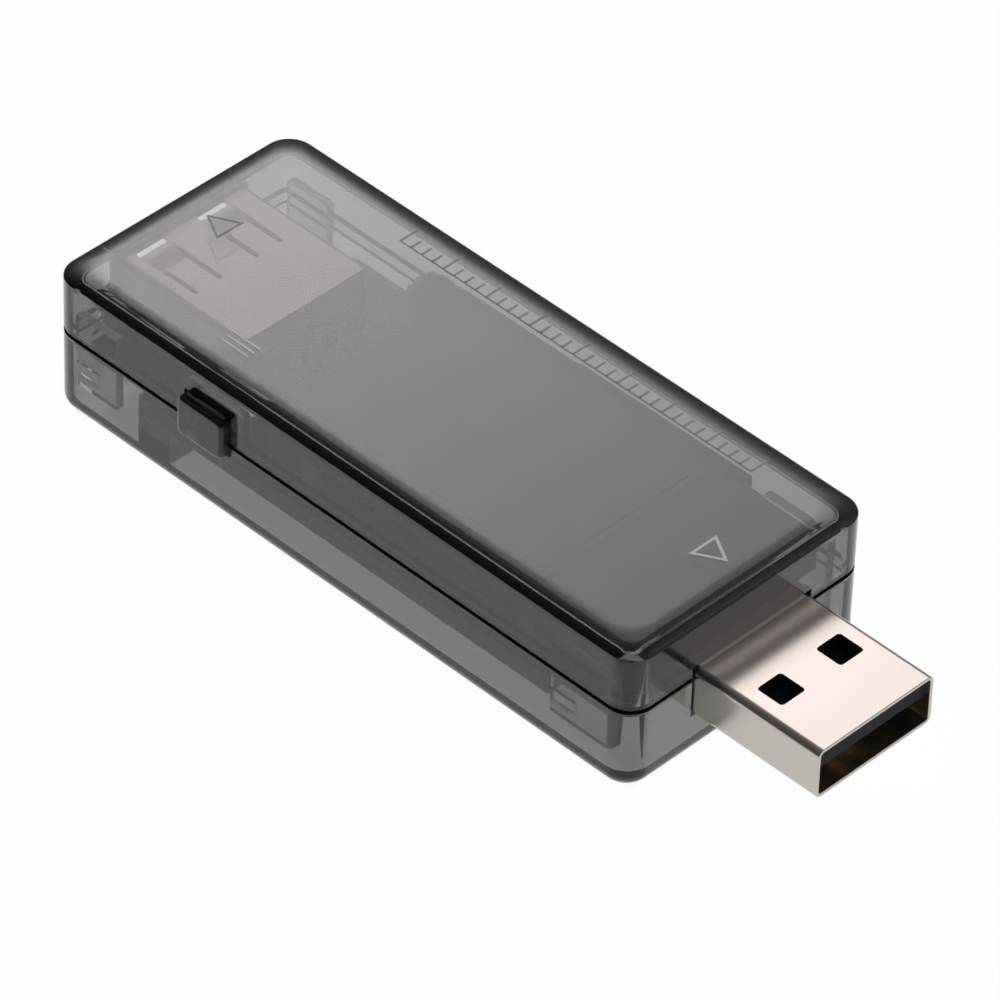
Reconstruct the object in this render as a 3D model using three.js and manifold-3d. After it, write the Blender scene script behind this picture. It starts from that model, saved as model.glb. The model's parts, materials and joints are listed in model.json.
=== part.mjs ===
// USB power meter: a smoke-clear two-part case with a USB-A plug at +X and a USB-A socket at -X.
// Millimetres, +Z up. The origin is the centre of the case's bottom face. The side button is on the -Y side.
import * as THREE from 'three';
import { mergeVertices } from 'three/addons/utils/BufferGeometryUtils.js';
import Module from 'manifold-3d';

const wasm = await Module();
wasm.setup();

// Case
const CASE_LENGTH = 60;
const CASE_WIDTH = 24.6;
const CASE_HEIGHT = 13;
const PARTING_Z = 7.55;
const CORNER_RADIUS = 2.2;
const TOP_EDGE_RUN = 1.9;
const TOP_EDGE_DROP = 0.65;
const BOTTOM_FILLET = 1.33;
const INSIDE_FILLET = 0.4;
const WALL = 1.4;
const SKIN = 1.2;
const LIP_DEPTH = 0.8;
const LIP_THICKNESS = 0.5;
const FIT_GAP = 0.1;

// Circuit board
const BOARD_BOTTOM_Z = 3.95;
const BOARD_THICKNESS = 1.6;
const BOARD_TOP_Z = BOARD_BOTTOM_Z + BOARD_THICKNESS;
const BOARD_HALF_WIDTH = 10.8;
const BOARD_WIDE_END_X = 21.3;
const BOARD_REAR_X = -28.2;
const BOARD_REAR_HALF_WIDTH = 8.6;
const BOARD_FRONT_X = 26.5;
const BOARD_FRONT_HALF_WIDTH = 8.9;

// USB-A plug
const PLUG_TIP_X = 42.1;
const PLUG_LENGTH = 18.75;
const PLUG_REAR_X = PLUG_TIP_X - PLUG_LENGTH;
const PLUG_WIDTH = 12;
const PLUG_HEIGHT = 4.5;
const PLUG_Y = 0.2;
const PLUG_BOTTOM_Z = BOARD_BOTTOM_Z;
const PLUG_TOP_Z = PLUG_BOTTOM_Z + PLUG_HEIGHT;
const PLUG_CORNER_RADIUS = 0.62;
const SHEET = 0.3;
const WINDOW_SIZE = 2.5;
const WINDOW_SPREAD = 3.05;
const WINDOW_FRONT_X = PLUG_TIP_X - 5.16;
const PLUG_TONGUE_BOTTOM_Z = 6.3;
const CONTACT_OFFSETS = [-3.5, -1, 1, 3.5];
const CONTACT_WIDTH = 1;
const CONTACT_THICKNESS = 0.18;

// USB-A socket
const SOCKET_MOUTH_X = -28.5;
const SOCKET_REAR_X = -15;
const SOCKET_Y = -0.65;
const SOCKET_WIDTH = 13.1;
const SOCKET_HEIGHT = 5.7;
const SOCKET_TOP_Z = BOARD_TOP_Z + SOCKET_HEIGHT;
const FINGER_OFFSETS = [-3.15, 3.05];
const FINGER_WIDTH = 2.1;
const FINGER_SLOT = 0.6;
const FINGER_ROOT_X = -21.7;

// Menu button and its switch
const BUTTON_X = -13.2;
const BUTTON_Z = 8.3;
const BUTTON_LENGTH = 4.8;
const BUTTON_HEIGHT = 3.6;
const BUTTON_PROUD = 0.95;
const BUTTON_GAP = 0.15;
const SWITCH_FRONT_Y = -9.5;
const SWITCH_BACK_Y = -7.35;
const SWITCH_LENGTH = 4.5;
const SWITCH_HEIGHT = 3.3;
const PLUNGER_TIP_Y = -9.95;

// Display
const DISPLAY_LEFT_X = -8.3;
const DISPLAY_RIGHT_X = 18.7;
const DISPLAY_NEAR_Y = -9.7;
const DISPLAY_FAR_Y = 9.4;
const DISPLAY_TRAY_TOP_Z = 10.5;

// Foam pad over the plug, under the lid
const PAD_LEFT_X = 19;
const PAD_RIGHT_X = 27.8;
const PAD_FAR_Y = 8.2;
const PAD_BOTTOM_Z = 8.6;
const PAD_TOP_Z = 11.3;

const HALF_LENGTH = CASE_LENGTH / 2;
const HALF_WIDTH = CASE_WIDTH / 2;

// ---------------------------------------------------------------- solids

function solid(geometry) {
  const bare = geometry.clone();
  bare.deleteAttribute('normal');
  bare.deleteAttribute('uv');
  const merged = mergeVertices(bare, 1e-4);
  const vertProperties = new Float32Array(merged.attributes.position.array);
  const triVerts = new Uint32Array(merged.index.array);
  return new wasm.Manifold(new wasm.Mesh({ numProp: 3, vertProperties, triVerts }));
}

function geometryOf(manifold) {
  const { vertProperties, triVerts } = manifold.getMesh();
  const geometry = new THREE.BufferGeometry();
  geometry.setAttribute('position', new THREE.BufferAttribute(new Float32Array(vertProperties), 3));
  geometry.setIndex(new THREE.BufferAttribute(new Uint32Array(triVerts), 1));
  geometry.computeVertexNormals();
  return geometry;
}

// A block between two corners.
function block(x0, x1, y0, y1, z0, z1) {
  const geometry = new THREE.BoxGeometry(x1 - x0, y1 - y0, z1 - z0);
  geometry.translate((x0 + x1) / 2, (y0 + y1) / 2, (z0 + z1) / 2);
  return solid(geometry);
}

// A rounded rectangle centred at (cx, cy).
function roundedRectangle(cx, cy, length, width, radius) {
  const x0 = cx - length / 2;
  const x1 = cx + length / 2;
  const y0 = cy - width / 2;
  const y1 = cy + width / 2;
  const quarter = Math.PI / 2;
  const shape = new THREE.Shape();
  shape.absarc(x1 - radius, y0 + radius, radius, -quarter, 0, false);
  shape.absarc(x1 - radius, y1 - radius, radius, 0, quarter, false);
  shape.absarc(x0 + radius, y1 - radius, radius, quarter, 2 * quarter, false);
  shape.absarc(x0 + radius, y0 + radius, radius, 2 * quarter, 3 * quarter, false);
  return shape;
}

// A straight-walled plate standing from z0 to z1.
function plate(shape, z0, z1, curveSegments = 6) {
  const geometry = new THREE.ExtrudeGeometry(shape, { depth: z1 - z0, bevelEnabled: false, curveSegments });
  geometry.translate(0, 0, z0);
  return solid(geometry);
}

// A plate whose upper and lower edges curve in by run while they drop by drop.
function pillow(shape, z0, z1, run, drop = run) {
  const geometry = new THREE.ExtrudeGeometry(shape, {
    depth: z1 - z0 - 2 * drop,
    bevelEnabled: true,
    bevelThickness: drop,
    bevelSize: run,
    bevelOffset: -run,
    bevelSegments: 4,
    curveSegments: 6,
  });
  geometry.translate(0, 0, z0 + drop);
  return solid(geometry);
}

// A profile drawn in X and Z, standing between y0 and y1.
function profileAlongY(points, y0, y1) {
  const shape = new THREE.Shape(points.map(([x, z]) => new THREE.Vector2(x, z)));
  const geometry = new THREE.ExtrudeGeometry(shape, { depth: y1 - y0, bevelEnabled: false });
  geometry.rotateX(Math.PI / 2);
  geometry.translate(0, y1, 0);
  return solid(geometry);
}

// A profile drawn in Y and Z, standing between x0 and x1.
function profileAlongX(points, x0, x1) {
  const shape = new THREE.Shape(points.map(([y, z]) => new THREE.Vector2(y, z)));
  const geometry = new THREE.ExtrudeGeometry(shape, { depth: x1 - x0, bevelEnabled: false });
  geometry.rotateX(Math.PI / 2);
  geometry.rotateZ(Math.PI / 2);
  geometry.translate(x0, 0, 0);
  return solid(geometry);
}

function joined(pieces) {
  return pieces.reduce((sum, piece) => sum.add(piece));
}

function cut(body, tools) {
  return tools.reduce((rest, tool) => rest.subtract(tool), body);
}

// ---------------------------------------------------------------- materials

const FINISHES = {
  smoke: { color: 0x4a4a4c, roughness: 0.08, metalness: 0, opacity: 0.55, transparent: true },
  solderMask: { color: 0x101312, roughness: 0.35, metalness: 0 },
  nickel: { color: 0xcfc8bd, roughness: 0.25, metalness: 1 },
  gold: { color: 0xd9b45a, roughness: 0.25, metalness: 1 },
  slate: { color: 0x3a3a3e, roughness: 0.5, metalness: 0 },
  moulded: { color: 0x18181a, roughness: 0.5, metalness: 0 },
  glass: { color: 0x55595a, roughness: 0.1, metalness: 0 },
  polariser: { color: 0x3b3d3c, roughness: 0.25, metalness: 0 },
  tray: { color: 0x1b1b1c, roughness: 0.5, metalness: 0 },
  diffuser: { color: 0xd8d8d4, roughness: 0.5, metalness: 0 },
  polyimide: { color: 0x8a5a1c, roughness: 0.35, metalness: 0 },
  epoxy: { color: 0x202022, roughness: 0.55, metalness: 0 },
  ceramic: { color: 0xb59a78, roughness: 0.5, metalness: 0 },
  tin: { color: 0xc4c6c8, roughness: 0.3, metalness: 1 },
};

const meter = new THREE.Group();

function addPart(name, manifold, finish) {
  const mesh = new THREE.Mesh(geometryOf(manifold), new THREE.MeshStandardMaterial(FINISHES[finish]));
  mesh.name = name;
  meter.add(mesh);
}

// ---------------------------------------------------------------- case

function caseOutline(inset, radius = CORNER_RADIUS - inset) {
  const corner = Math.max(radius, 0.5);
  return roundedRectangle(0, 0, CASE_LENGTH - 2 * inset, CASE_WIDTH - 2 * inset, corner);
}

// The three openings that both halves share: socket mouth, plug and button.
function caseOpenings() {
  const rear = block(-HALF_LENGTH - 1, SOCKET_MOUTH_X, SOCKET_Y - SOCKET_WIDTH / 2 - FIT_GAP,
    SOCKET_Y + SOCKET_WIDTH / 2 + FIT_GAP, BOARD_TOP_Z - 0.15, SOCKET_TOP_Z + 0.15);
  const front = block(HALF_LENGTH - WALL - 0.5, HALF_LENGTH + 1, PLUG_Y - PLUG_WIDTH / 2 - 0.15,
    PLUG_Y + PLUG_WIDTH / 2 + 0.15, PLUG_BOTTOM_Z - 0.1, PLUG_TOP_Z + 0.2);
  const side = block(BUTTON_X - BUTTON_LENGTH / 2 - BUTTON_GAP, BUTTON_X + BUTTON_LENGTH / 2 + BUTTON_GAP,
    -HALF_WIDTH - 1, -HALF_WIDTH + WALL + 0.4,
    BUTTON_Z - BUTTON_HEIGHT / 2 - BUTTON_GAP, BUTTON_Z + BUTTON_HEIGHT / 2 + BUTTON_GAP);
  return [rear, front, side];
}

// Snap arms stand inside both long walls, near both ends: [low x, high x] of each pair.
const SNAP_SPANS = [[-28.0, -23.7], [21.6, 27.2]];
const SNAP_HOOK_LENGTH = 2;
const SNAP_ARM_BOTTOM_Z = 2.6;
const SNAP_HOOK_Z = [3.9, 4.9];

function snapArm([x0, x1], side) {
  const face = side * (HALF_WIDTH - WALL);
  const across = (a, b) => [Math.min(face + side * a, face + side * b), Math.max(face + side * a, face + side * b)];
  const upper = block(x0, x1, ...across(-0.8, 0.1), PARTING_Z - 0.2, PARTING_Z + 1.8);
  const arm = block(x0, x1, ...across(-0.8, -0.08), SNAP_ARM_BOTTOM_Z, PARTING_Z);
  const hookStart = x0 + 0.4;
  const hook = block(hookStart, hookStart + SNAP_HOOK_LENGTH, ...across(-0.2, 0.3), ...SNAP_HOOK_Z);
  return joined([upper, arm, hook]);
}

function snapPocket([x0], side) {
  const face = side * (HALF_WIDTH - WALL);
  const y0 = Math.min(face - side * 0.2, face + side * 0.45);
  const y1 = Math.max(face - side * 0.2, face + side * 0.45);
  return block(x0 + 0.2, x0 + 0.6 + SNAP_HOOK_LENGTH, y0, y1, SNAP_HOOK_Z[0] - 0.15, SNAP_HOOK_Z[1] + 0.15);
}

function makeTopCover() {
  const outer = pillow(caseOutline(0), 0, CASE_HEIGHT, TOP_EDGE_RUN, TOP_EDGE_DROP);
  const hollow = pillow(caseOutline(WALL), 0, CASE_HEIGHT - SKIN, INSIDE_FILLET);
  const below = block(-HALF_LENGTH - 1, HALF_LENGTH + 1, -HALF_WIDTH - 1, HALF_WIDTH + 1, -1, PARTING_Z);
  const shell = cut(outer, [below, hollow]);
  const lipOutside = plate(caseOutline(WALL - LIP_THICKNESS), PARTING_Z - LIP_DEPTH, PARTING_Z + 0.1);
  const lipInside = plate(caseOutline(WALL), PARTING_Z - LIP_DEPTH - 1, PARTING_Z + 1);
  const lip = lipOutside.subtract(lipInside);
  const arms = SNAP_SPANS.flatMap((span) => [snapArm(span, 1), snapArm(span, -1)]);
  return cut(joined([shell, lip, ...arms]), caseOpenings());
}

// Ledges that stand on the floor and carry the board: [centre x, side].
function boardLedge(x, side) {
  const near = side * 7.8;
  const far = side * (HALF_WIDTH - WALL + 0.2);
  return block(x - 0.75, x + 0.75, Math.min(near, far), Math.max(near, far), SKIN - 0.2, BOARD_BOTTOM_Z);
}

function makeBottomCover() {
  const outer = pillow(caseOutline(0), 0, CASE_HEIGHT, BOTTOM_FILLET);
  const hollow = pillow(caseOutline(WALL), SKIN, CASE_HEIGHT, INSIDE_FILLET);
  const above = block(-HALF_LENGTH - 1, HALF_LENGTH + 1, -HALF_WIDTH - 1, HALF_WIDTH + 1,
    PARTING_Z, CASE_HEIGHT + 1);
  const rebate = plate(caseOutline(WALL - LIP_THICKNESS - 0.05), PARTING_Z - LIP_DEPTH - 0.05, PARTING_Z + 1);
  const pockets = SNAP_SPANS.flatMap((span) => [snapPocket(span, 1), snapPocket(span, -1)]);
  const shell = cut(outer, [above, hollow, rebate, ...pockets]);
  const ledges = [-20.4, 20.4].flatMap((x) => [boardLedge(x, 1), boardLedge(x, -1)]);
  return cut(joined([shell, ...ledges]), caseOpenings());
}

addPart('top_cover', makeTopCover(), 'smoke');
addPart('bottom_cover', makeBottomCover(), 'smoke');

// ---------------------------------------------------------------- menu button and switch

// A block whose outline in X and Z is rounded, standing between y0 and y1.
function keyBlock(length, height, radius, y0, y1) {
  const shape = roundedRectangle(BUTTON_X, BUTTON_Z, length, height, radius);
  const geometry = new THREE.ExtrudeGeometry(shape, { depth: y1 - y0, bevelEnabled: false, curveSegments: 4 });
  geometry.rotateX(Math.PI / 2);
  geometry.translate(0, y1, 0);
  return solid(geometry);
}

function makeButton() {
  const front = -HALF_WIDTH - BUTTON_PROUD;
  const wallInside = -HALF_WIDTH + WALL;
  const cap = keyBlock(BUTTON_LENGTH, BUTTON_HEIGHT, 0.5, front, wallInside + 0.4);
  const flange = keyBlock(BUTTON_LENGTH + 1.6, BUTTON_HEIGHT + 1.1, 0.6, wallInside + FIT_GAP, wallInside + 0.7);
  const stem = block(BUTTON_X - 1, BUTTON_X + 1, wallInside + 0.5, PLUNGER_TIP_Y - 0.02, 6.95, 8.25);
  return joined([cap, flange, stem]);
}

const SWITCH_X = [BUTTON_X - SWITCH_LENGTH / 2, BUTTON_X + SWITCH_LENGTH / 2];
const SWITCH_TOP_Z = BOARD_TOP_Z + SWITCH_HEIGHT;

function makeSwitchBody() {
  const body = block(...SWITCH_X, SWITCH_FRONT_Y, SWITCH_BACK_Y, BOARD_TOP_Z, SWITCH_TOP_Z);
  const pocket = block(BUTTON_X - 1.15, BUTTON_X + 1.15, SWITCH_FRONT_Y - 0.5, SWITCH_FRONT_Y + 1.2, 6.8, 8.4);
  return body.subtract(pocket);
}

// A plate over the body with one leg at each end.
function makeSwitchCover() {
  const y0 = SWITCH_FRONT_Y + 0.1;
  const y1 = SWITCH_BACK_Y - 0.2;
  const top = block(SWITCH_X[0] - 0.2, SWITCH_X[1] + 0.2, y0, y1, SWITCH_TOP_Z + 0.02, SWITCH_TOP_Z + 0.17);
  const legs = [-1, 1].map((side) => {
    const inner = BUTTON_X + side * (SWITCH_LENGTH / 2 + 0.03);
    const outer = inner + side * 0.17;
    return block(Math.min(inner, outer), Math.max(inner, outer), y0, y1, BOARD_TOP_Z, SWITCH_TOP_Z + 0.1);
  });
  return joined([top, ...legs]);
}

addPart('menu_button', makeButton(), 'smoke');
addPart('switch_body', makeSwitchBody(), 'moulded');
addPart('switch_plunger', block(BUTTON_X - 1, BUTTON_X + 1, PLUNGER_TIP_Y, SWITCH_FRONT_Y + 0.6, 6.95, 8.25), 'slate');
addPart('switch_cover', makeSwitchCover(), 'tin');

// ---------------------------------------------------------------- circuit board

// The board is narrower at both ends, where the snap arms stand, and notched for the sunk plug.
function makeBoard() {
  const notchLow = PLUG_Y - PLUG_WIDTH / 2 - 0.1;
  const notchHigh = PLUG_Y + PLUG_WIDTH / 2 + 0.1;
  const notchX = PLUG_REAR_X - 0.1;
  const outline = [
    [BOARD_REAR_X, -BOARD_REAR_HALF_WIDTH],
    [-BOARD_WIDE_END_X, -BOARD_REAR_HALF_WIDTH],
    [-BOARD_WIDE_END_X, -BOARD_HALF_WIDTH],
    [BOARD_WIDE_END_X, -BOARD_HALF_WIDTH],
    [BOARD_WIDE_END_X, -BOARD_FRONT_HALF_WIDTH],
    [BOARD_FRONT_X, -BOARD_FRONT_HALF_WIDTH],
    [BOARD_FRONT_X, notchLow],
    [notchX, notchLow],
    [notchX, notchHigh],
    [BOARD_FRONT_X, notchHigh],
    [BOARD_FRONT_X, BOARD_FRONT_HALF_WIDTH],
    [BOARD_WIDE_END_X, BOARD_FRONT_HALF_WIDTH],
    [BOARD_WIDE_END_X, BOARD_HALF_WIDTH],
    [-BOARD_WIDE_END_X, BOARD_HALF_WIDTH],
    [-BOARD_WIDE_END_X, BOARD_REAR_HALF_WIDTH],
    [BOARD_REAR_X, BOARD_REAR_HALF_WIDTH],
  ];
  const shape = new THREE.Shape(outline.map(([x, y]) => new THREE.Vector2(x, y)));
  const board = plate(shape, BOARD_BOTTOM_Z, BOARD_TOP_Z);
  return cut(board, socketLegs(FIT_GAP));
}

// Four legs of the socket shell pass through the board. clearance widens them into slots.
function socketLegs(clearance) {
  const length = 1.4;
  const low = BOARD_BOTTOM_Z - 0.5 - clearance;
  return [-25.6, -19.4].flatMap((x) => [-1, 1].map((side) => {
    const outer = SOCKET_Y + side * (SOCKET_WIDTH / 2 + clearance);
    const inner = SOCKET_Y + side * (SOCKET_WIDTH / 2 - SHEET - clearance);
    return block(x - length / 2 - clearance, x + length / 2 + clearance,
      Math.min(inner, outer), Math.max(inner, outer), low, BOARD_TOP_Z + 0.1);
  }));
}

addPart('circuit_board', makeBoard(), 'solderMask');

// ---------------------------------------------------------------- plug

// An upright rounded rectangle in Y and Z, standing from x0 to x1.
function barAlongX(cy, z0, z1, width, radius, x0, x1) {
  const shape = roundedRectangle(cy, (z0 + z1) / 2, width, z1 - z0, radius);
  const geometry = new THREE.ExtrudeGeometry(shape, { depth: x1 - x0, bevelEnabled: false, curveSegments: 4 });
  geometry.rotateX(Math.PI / 2);
  geometry.rotateZ(Math.PI / 2);
  geometry.translate(x0, 0, 0);
  return solid(geometry);
}

function windowHoles(z0, z1, margin) {
  return [-1, 1].map((side) => {
    const cy = PLUG_Y + side * WINDOW_SPREAD;
    const half = WINDOW_SIZE / 2 + margin;
    return block(WINDOW_FRONT_X - WINDOW_SIZE - margin, WINDOW_FRONT_X + margin, cy - half, cy + half, z0, z1);
  });
}

function makePlugShell() {
  const outside = barAlongX(PLUG_Y, PLUG_BOTTOM_Z, PLUG_TOP_Z, PLUG_WIDTH, PLUG_CORNER_RADIUS,
    PLUG_REAR_X, PLUG_TIP_X);
  const inside = barAlongX(PLUG_Y, PLUG_BOTTOM_Z + SHEET, PLUG_TOP_Z - SHEET, PLUG_WIDTH - 2 * SHEET,
    PLUG_CORNER_RADIUS - SHEET, PLUG_REAR_X - 1, PLUG_TIP_X + 1);
  const windows = [
    ...windowHoles(PLUG_TOP_Z - 1, PLUG_TOP_Z + 1, 0),
    ...windowHoles(PLUG_BOTTOM_Z - 1, PLUG_BOTTOM_Z + 1, 0),
  ];
  const ears = [-1, 1].map((side) => {
    const inner = PLUG_Y + side * (PLUG_WIDTH / 2 - 0.1);
    const outer = PLUG_Y + side * (PLUG_WIDTH / 2 + 1.5);
    return block(24.2, 26.2, Math.min(inner, outer), Math.max(inner, outer), BOARD_TOP_Z, BOARD_TOP_Z + SHEET);
  });
  return joined([cut(outside, [inside, ...windows]), ...ears]);
}

// The tongue hangs under the shell's top, and its rear block fills the shell.
function makePlugTongue() {
  const gap = 0.03;
  const width = PLUG_WIDTH - 2 * SHEET - 2 * gap;
  const top = PLUG_TOP_Z - SHEET - gap;
  const tongue = barAlongX(PLUG_Y, PLUG_TONGUE_BOTTOM_Z, top, width, 0.25, PLUG_REAR_X + 0.4, PLUG_TIP_X - 0.5);
  const rear = barAlongX(PLUG_Y, PLUG_BOTTOM_Z + SHEET + gap, top, width, 0.25, PLUG_REAR_X + 0.4, 31);
  const channels = CONTACT_OFFSETS.map((offset) => {
    const cy = PLUG_Y + offset;
    const half = CONTACT_WIDTH / 2 + 0.05;
    return block(PLUG_REAR_X, 31.5, cy - half, cy + half, PLUG_TONGUE_BOTTOM_Z - 0.3, PLUG_TONGUE_BOTTOM_Z);
  });
  const pockets = windowHoles(top - 1.1, top + 1, 0.1);
  return cut(joined([tongue, rear]), [...channels, ...pockets]);
}

function makePlugContact(offset) {
  const top = PLUG_TONGUE_BOTTOM_Z - 0.02;
  const low = top - CONTACT_THICKNESS;
  const foot = BOARD_TOP_Z;
  const profile = [
    [40.9, top],
    [22.9, top],
    [22.2, foot + CONTACT_THICKNESS],
    [20.6, foot + CONTACT_THICKNESS],
    [20.6, foot],
    [22.3, foot],
    [23.0, low],
    [40.9, low],
  ];
  const cy = PLUG_Y + offset;
  return profileAlongY(profile, cy - CONTACT_WIDTH / 2, cy + CONTACT_WIDTH / 2);
}

addPart('plug_shell', makePlugShell(), 'nickel');
addPart('plug_tongue', makePlugTongue(), 'slate');
CONTACT_OFFSETS.forEach((offset, index) => {
  addPart(`plug_contact_${index + 1}`, makePlugContact(offset), 'gold');
});

// ---------------------------------------------------------------- socket

// A U-shaped slot frees each spring finger on three sides. Its legs end round at the finger's root.
function fingerSlot(offset) {
  const cy = SOCKET_Y + offset;
  const outerHalf = FINGER_WIDTH / 2 + FINGER_SLOT;
  const barStart = SOCKET_MOUTH_X + 0.35;
  const barEnd = barStart + 0.55;
  const z0 = SOCKET_TOP_Z - 1;
  const z1 = SOCKET_TOP_Z + 1;
  const bar = block(barStart, barEnd, cy - outerHalf, cy + outerHalf, z0, z1);
  const legs = [-1, 1].map((side) => {
    const legY = cy + side * (FINGER_WIDTH + FINGER_SLOT) / 2;
    const length = FINGER_ROOT_X - barStart;
    const shape = roundedRectangle((barStart + FINGER_ROOT_X) / 2, legY, length, FINGER_SLOT, 0.29);
    return plate(shape, z0, z1, 4);
  });
  return joined([bar, ...legs]);
}

function makeSocketShell() {
  const outside = barAlongX(SOCKET_Y, BOARD_TOP_Z, SOCKET_TOP_Z, SOCKET_WIDTH, 0.5, SOCKET_MOUTH_X, SOCKET_REAR_X);
  const inside = barAlongX(SOCKET_Y, BOARD_TOP_Z + SHEET, SOCKET_TOP_Z - SHEET, SOCKET_WIDTH - 2 * SHEET, 0.3,
    SOCKET_MOUTH_X - 1, SOCKET_REAR_X + 1);
  const shell = cut(outside, [inside, ...FINGER_OFFSETS.map(fingerSlot)]);
  return joined([shell, ...socketLegs(0)]);
}

// The insulator fills the shell's rear and carries a tongue under its top.
function makeSocketTongue() {
  const gap = 0.04;
  const low = BOARD_TOP_Z + SHEET + gap;
  const high = SOCKET_TOP_Z - SHEET - gap;
  const width = SOCKET_WIDTH - 2 * SHEET - 2 * gap;
  const rear = barAlongX(SOCKET_Y, low, high, width, 0.35, -17.6, SOCKET_REAR_X - 0.2);
  const tongue = block(-26.9, -17, SOCKET_Y - 5.4, SOCKET_Y + 5.4, 8.75, 10.3);
  const channels = CONTACT_OFFSETS.map((offset) => {
    const cy = SOCKET_Y + offset;
    const half = CONTACT_WIDTH / 2 + 0.05;
    return block(-18, SOCKET_REAR_X, cy - half, cy + half, 8.5, 8.75);
  });
  return cut(joined([rear, tongue]), channels);
}

function makeSocketContact(offset) {
  const top = 8.73;
  const t = CONTACT_THICKNESS;
  const heel = SOCKET_REAR_X + 0.35;
  const profile = [
    [-26.4, top - t],
    [heel - t, top - t],
    [heel - t, BOARD_TOP_Z],
    [heel + 1.1, BOARD_TOP_Z],
    [heel + 1.1, BOARD_TOP_Z + t],
    [heel, BOARD_TOP_Z + t],
    [heel, top],
    [-26.4, top],
  ];
  const cy = SOCKET_Y + offset;
  return profileAlongY(profile, cy - CONTACT_WIDTH / 2, cy + CONTACT_WIDTH / 2);
}

addPart('socket_shell', makeSocketShell(), 'nickel');
addPart('socket_tongue', makeSocketTongue(), 'slate');
CONTACT_OFFSETS.forEach((offset, index) => {
  addPart(`socket_contact_${index + 1}`, makeSocketContact(offset), 'gold');
});

// ---------------------------------------------------------------- display

// A tray with a pocket for the lit layers, standing on four feet on the board.
function makeDisplayTray() {
  const x = [DISPLAY_LEFT_X, DISPLAY_RIGHT_X];
  const y = [DISPLAY_NEAR_Y, DISPLAY_FAR_Y];
  const slab = block(...x, ...y, 9, DISPLAY_TRAY_TOP_Z);
  const pocket = block(x[0] + 1, x[1] - 1, y[0] + 1, y[1] - 1, 9.6, DISPLAY_TRAY_TOP_Z + 1);
  const feet = [];
  for (const fx of [x[0] + 0.8, x[1] - 0.8]) {
    for (const fy of [y[0] + 0.8, y[1] - 0.8]) {
      feet.push(block(fx - 0.8, fx + 0.8, fy - 0.8, fy + 0.8, BOARD_TOP_Z, 9.1));
    }
  }
  return joined([slab.subtract(pocket), ...feet]);
}

function makeDisplayFlex() {
  const t = 0.15;
  const bend = 10.55;
  const glassZ = 10.95;
  const profile = [
    [9.15, glassZ],
    [bend, glassZ],
    [bend + t, glassZ - t],
    [bend + t, BOARD_TOP_Z + 0.02],
    [8.7, BOARD_TOP_Z + 0.02],
    [8.7, BOARD_TOP_Z + 0.02 + t],
    [bend, BOARD_TOP_Z + 0.02 + t],
    [bend, glassZ - 2 * t],
    [bend - t, glassZ - t],
    [9.15, glassZ - t],
  ];
  return profileAlongX(profile, 2.3, 13.8);
}

// A hand-torn piece of tape over the corner of the display.
function makeDisplayTape() {
  const left = -11.4;
  const far = 9.6;
  const teeth = 9;
  const shape = new THREE.Shape();
  shape.moveTo(-5.6, 6.4);
  shape.lineTo(-5.6, far);
  for (let i = 0; i <= teeth; i += 1) {
    const along = i / teeth;
    const ragged = 0.35 * Math.sin(i * 2.4) + 0.2 * Math.sin(i * 5.1);
    shape.lineTo(left + 1.3 * along + ragged, far - 0.4 - 2.9 * along);
  }
  shape.closePath();
  return plate(shape, 11.6, 11.7);
}

addPart('display_tray', makeDisplayTray(), 'tray');
addPart('display_backlight', block(DISPLAY_LEFT_X + 1.1, DISPLAY_RIGHT_X - 1.1, DISPLAY_NEAR_Y + 1.1,
  DISPLAY_FAR_Y - 1.1, 9.62, 10.45), 'diffuser');
addPart('display_glass', block(DISPLAY_LEFT_X + 0.2, DISPLAY_RIGHT_X - 0.2, DISPLAY_NEAR_Y + 0.2, 9.1,
  DISPLAY_TRAY_TOP_Z + 0.02, 11.35), 'glass');
addPart('display_polariser', block(-7.4, 18, -8.9, 5.8, 11.37, 11.55), 'polariser');
addPart('display_flex', makeDisplayFlex(), 'polyimide');
addPart('display_tape', makeDisplayTape(), 'polariser');
addPart('plug_pad', block(PAD_LEFT_X, PAD_RIGHT_X, DISPLAY_NEAR_Y, PAD_FAR_Y, PAD_BOTTOM_Z, PAD_TOP_Z), 'tray');

// ---------------------------------------------------------------- board components

// A moulded chip with straight leads on two sides. side is 1 on top of the board and -1 under it.
function leadedChip(cx, cy, length, width, height, leads, pitch, side) {
  const base = side > 0 ? BOARD_TOP_Z : BOARD_BOTTOM_Z;
  const level = (distance) => base + side * distance;
  const span = (a, b) => [Math.min(level(a), level(b)), Math.max(level(a), level(b))];
  const pieces = [block(cx - length / 2, cx + length / 2, cy - width / 2, cy + width / 2, ...span(0.1, height))];
  for (let i = 0; i < leads; i += 1) {
    const x = cx + (i - (leads - 1) / 2) * pitch;
    pieces.push(block(x - pitch / 5, x + pitch / 5, cy - width / 2 - 0.9, cy + width / 2 + 0.9, ...span(0, 0.22)));
  }
  return joined(pieces);
}

// A block-shaped part that lies flat on the board.
function flatPart(cx, cy, length, width, height, side) {
  const base = side > 0 ? BOARD_TOP_Z : BOARD_BOTTOM_Z;
  const end = base + side * height;
  return block(cx - length / 2, cx + length / 2, cy - width / 2, cy + width / 2,
    Math.min(base, end), Math.max(base, end));
}

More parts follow.
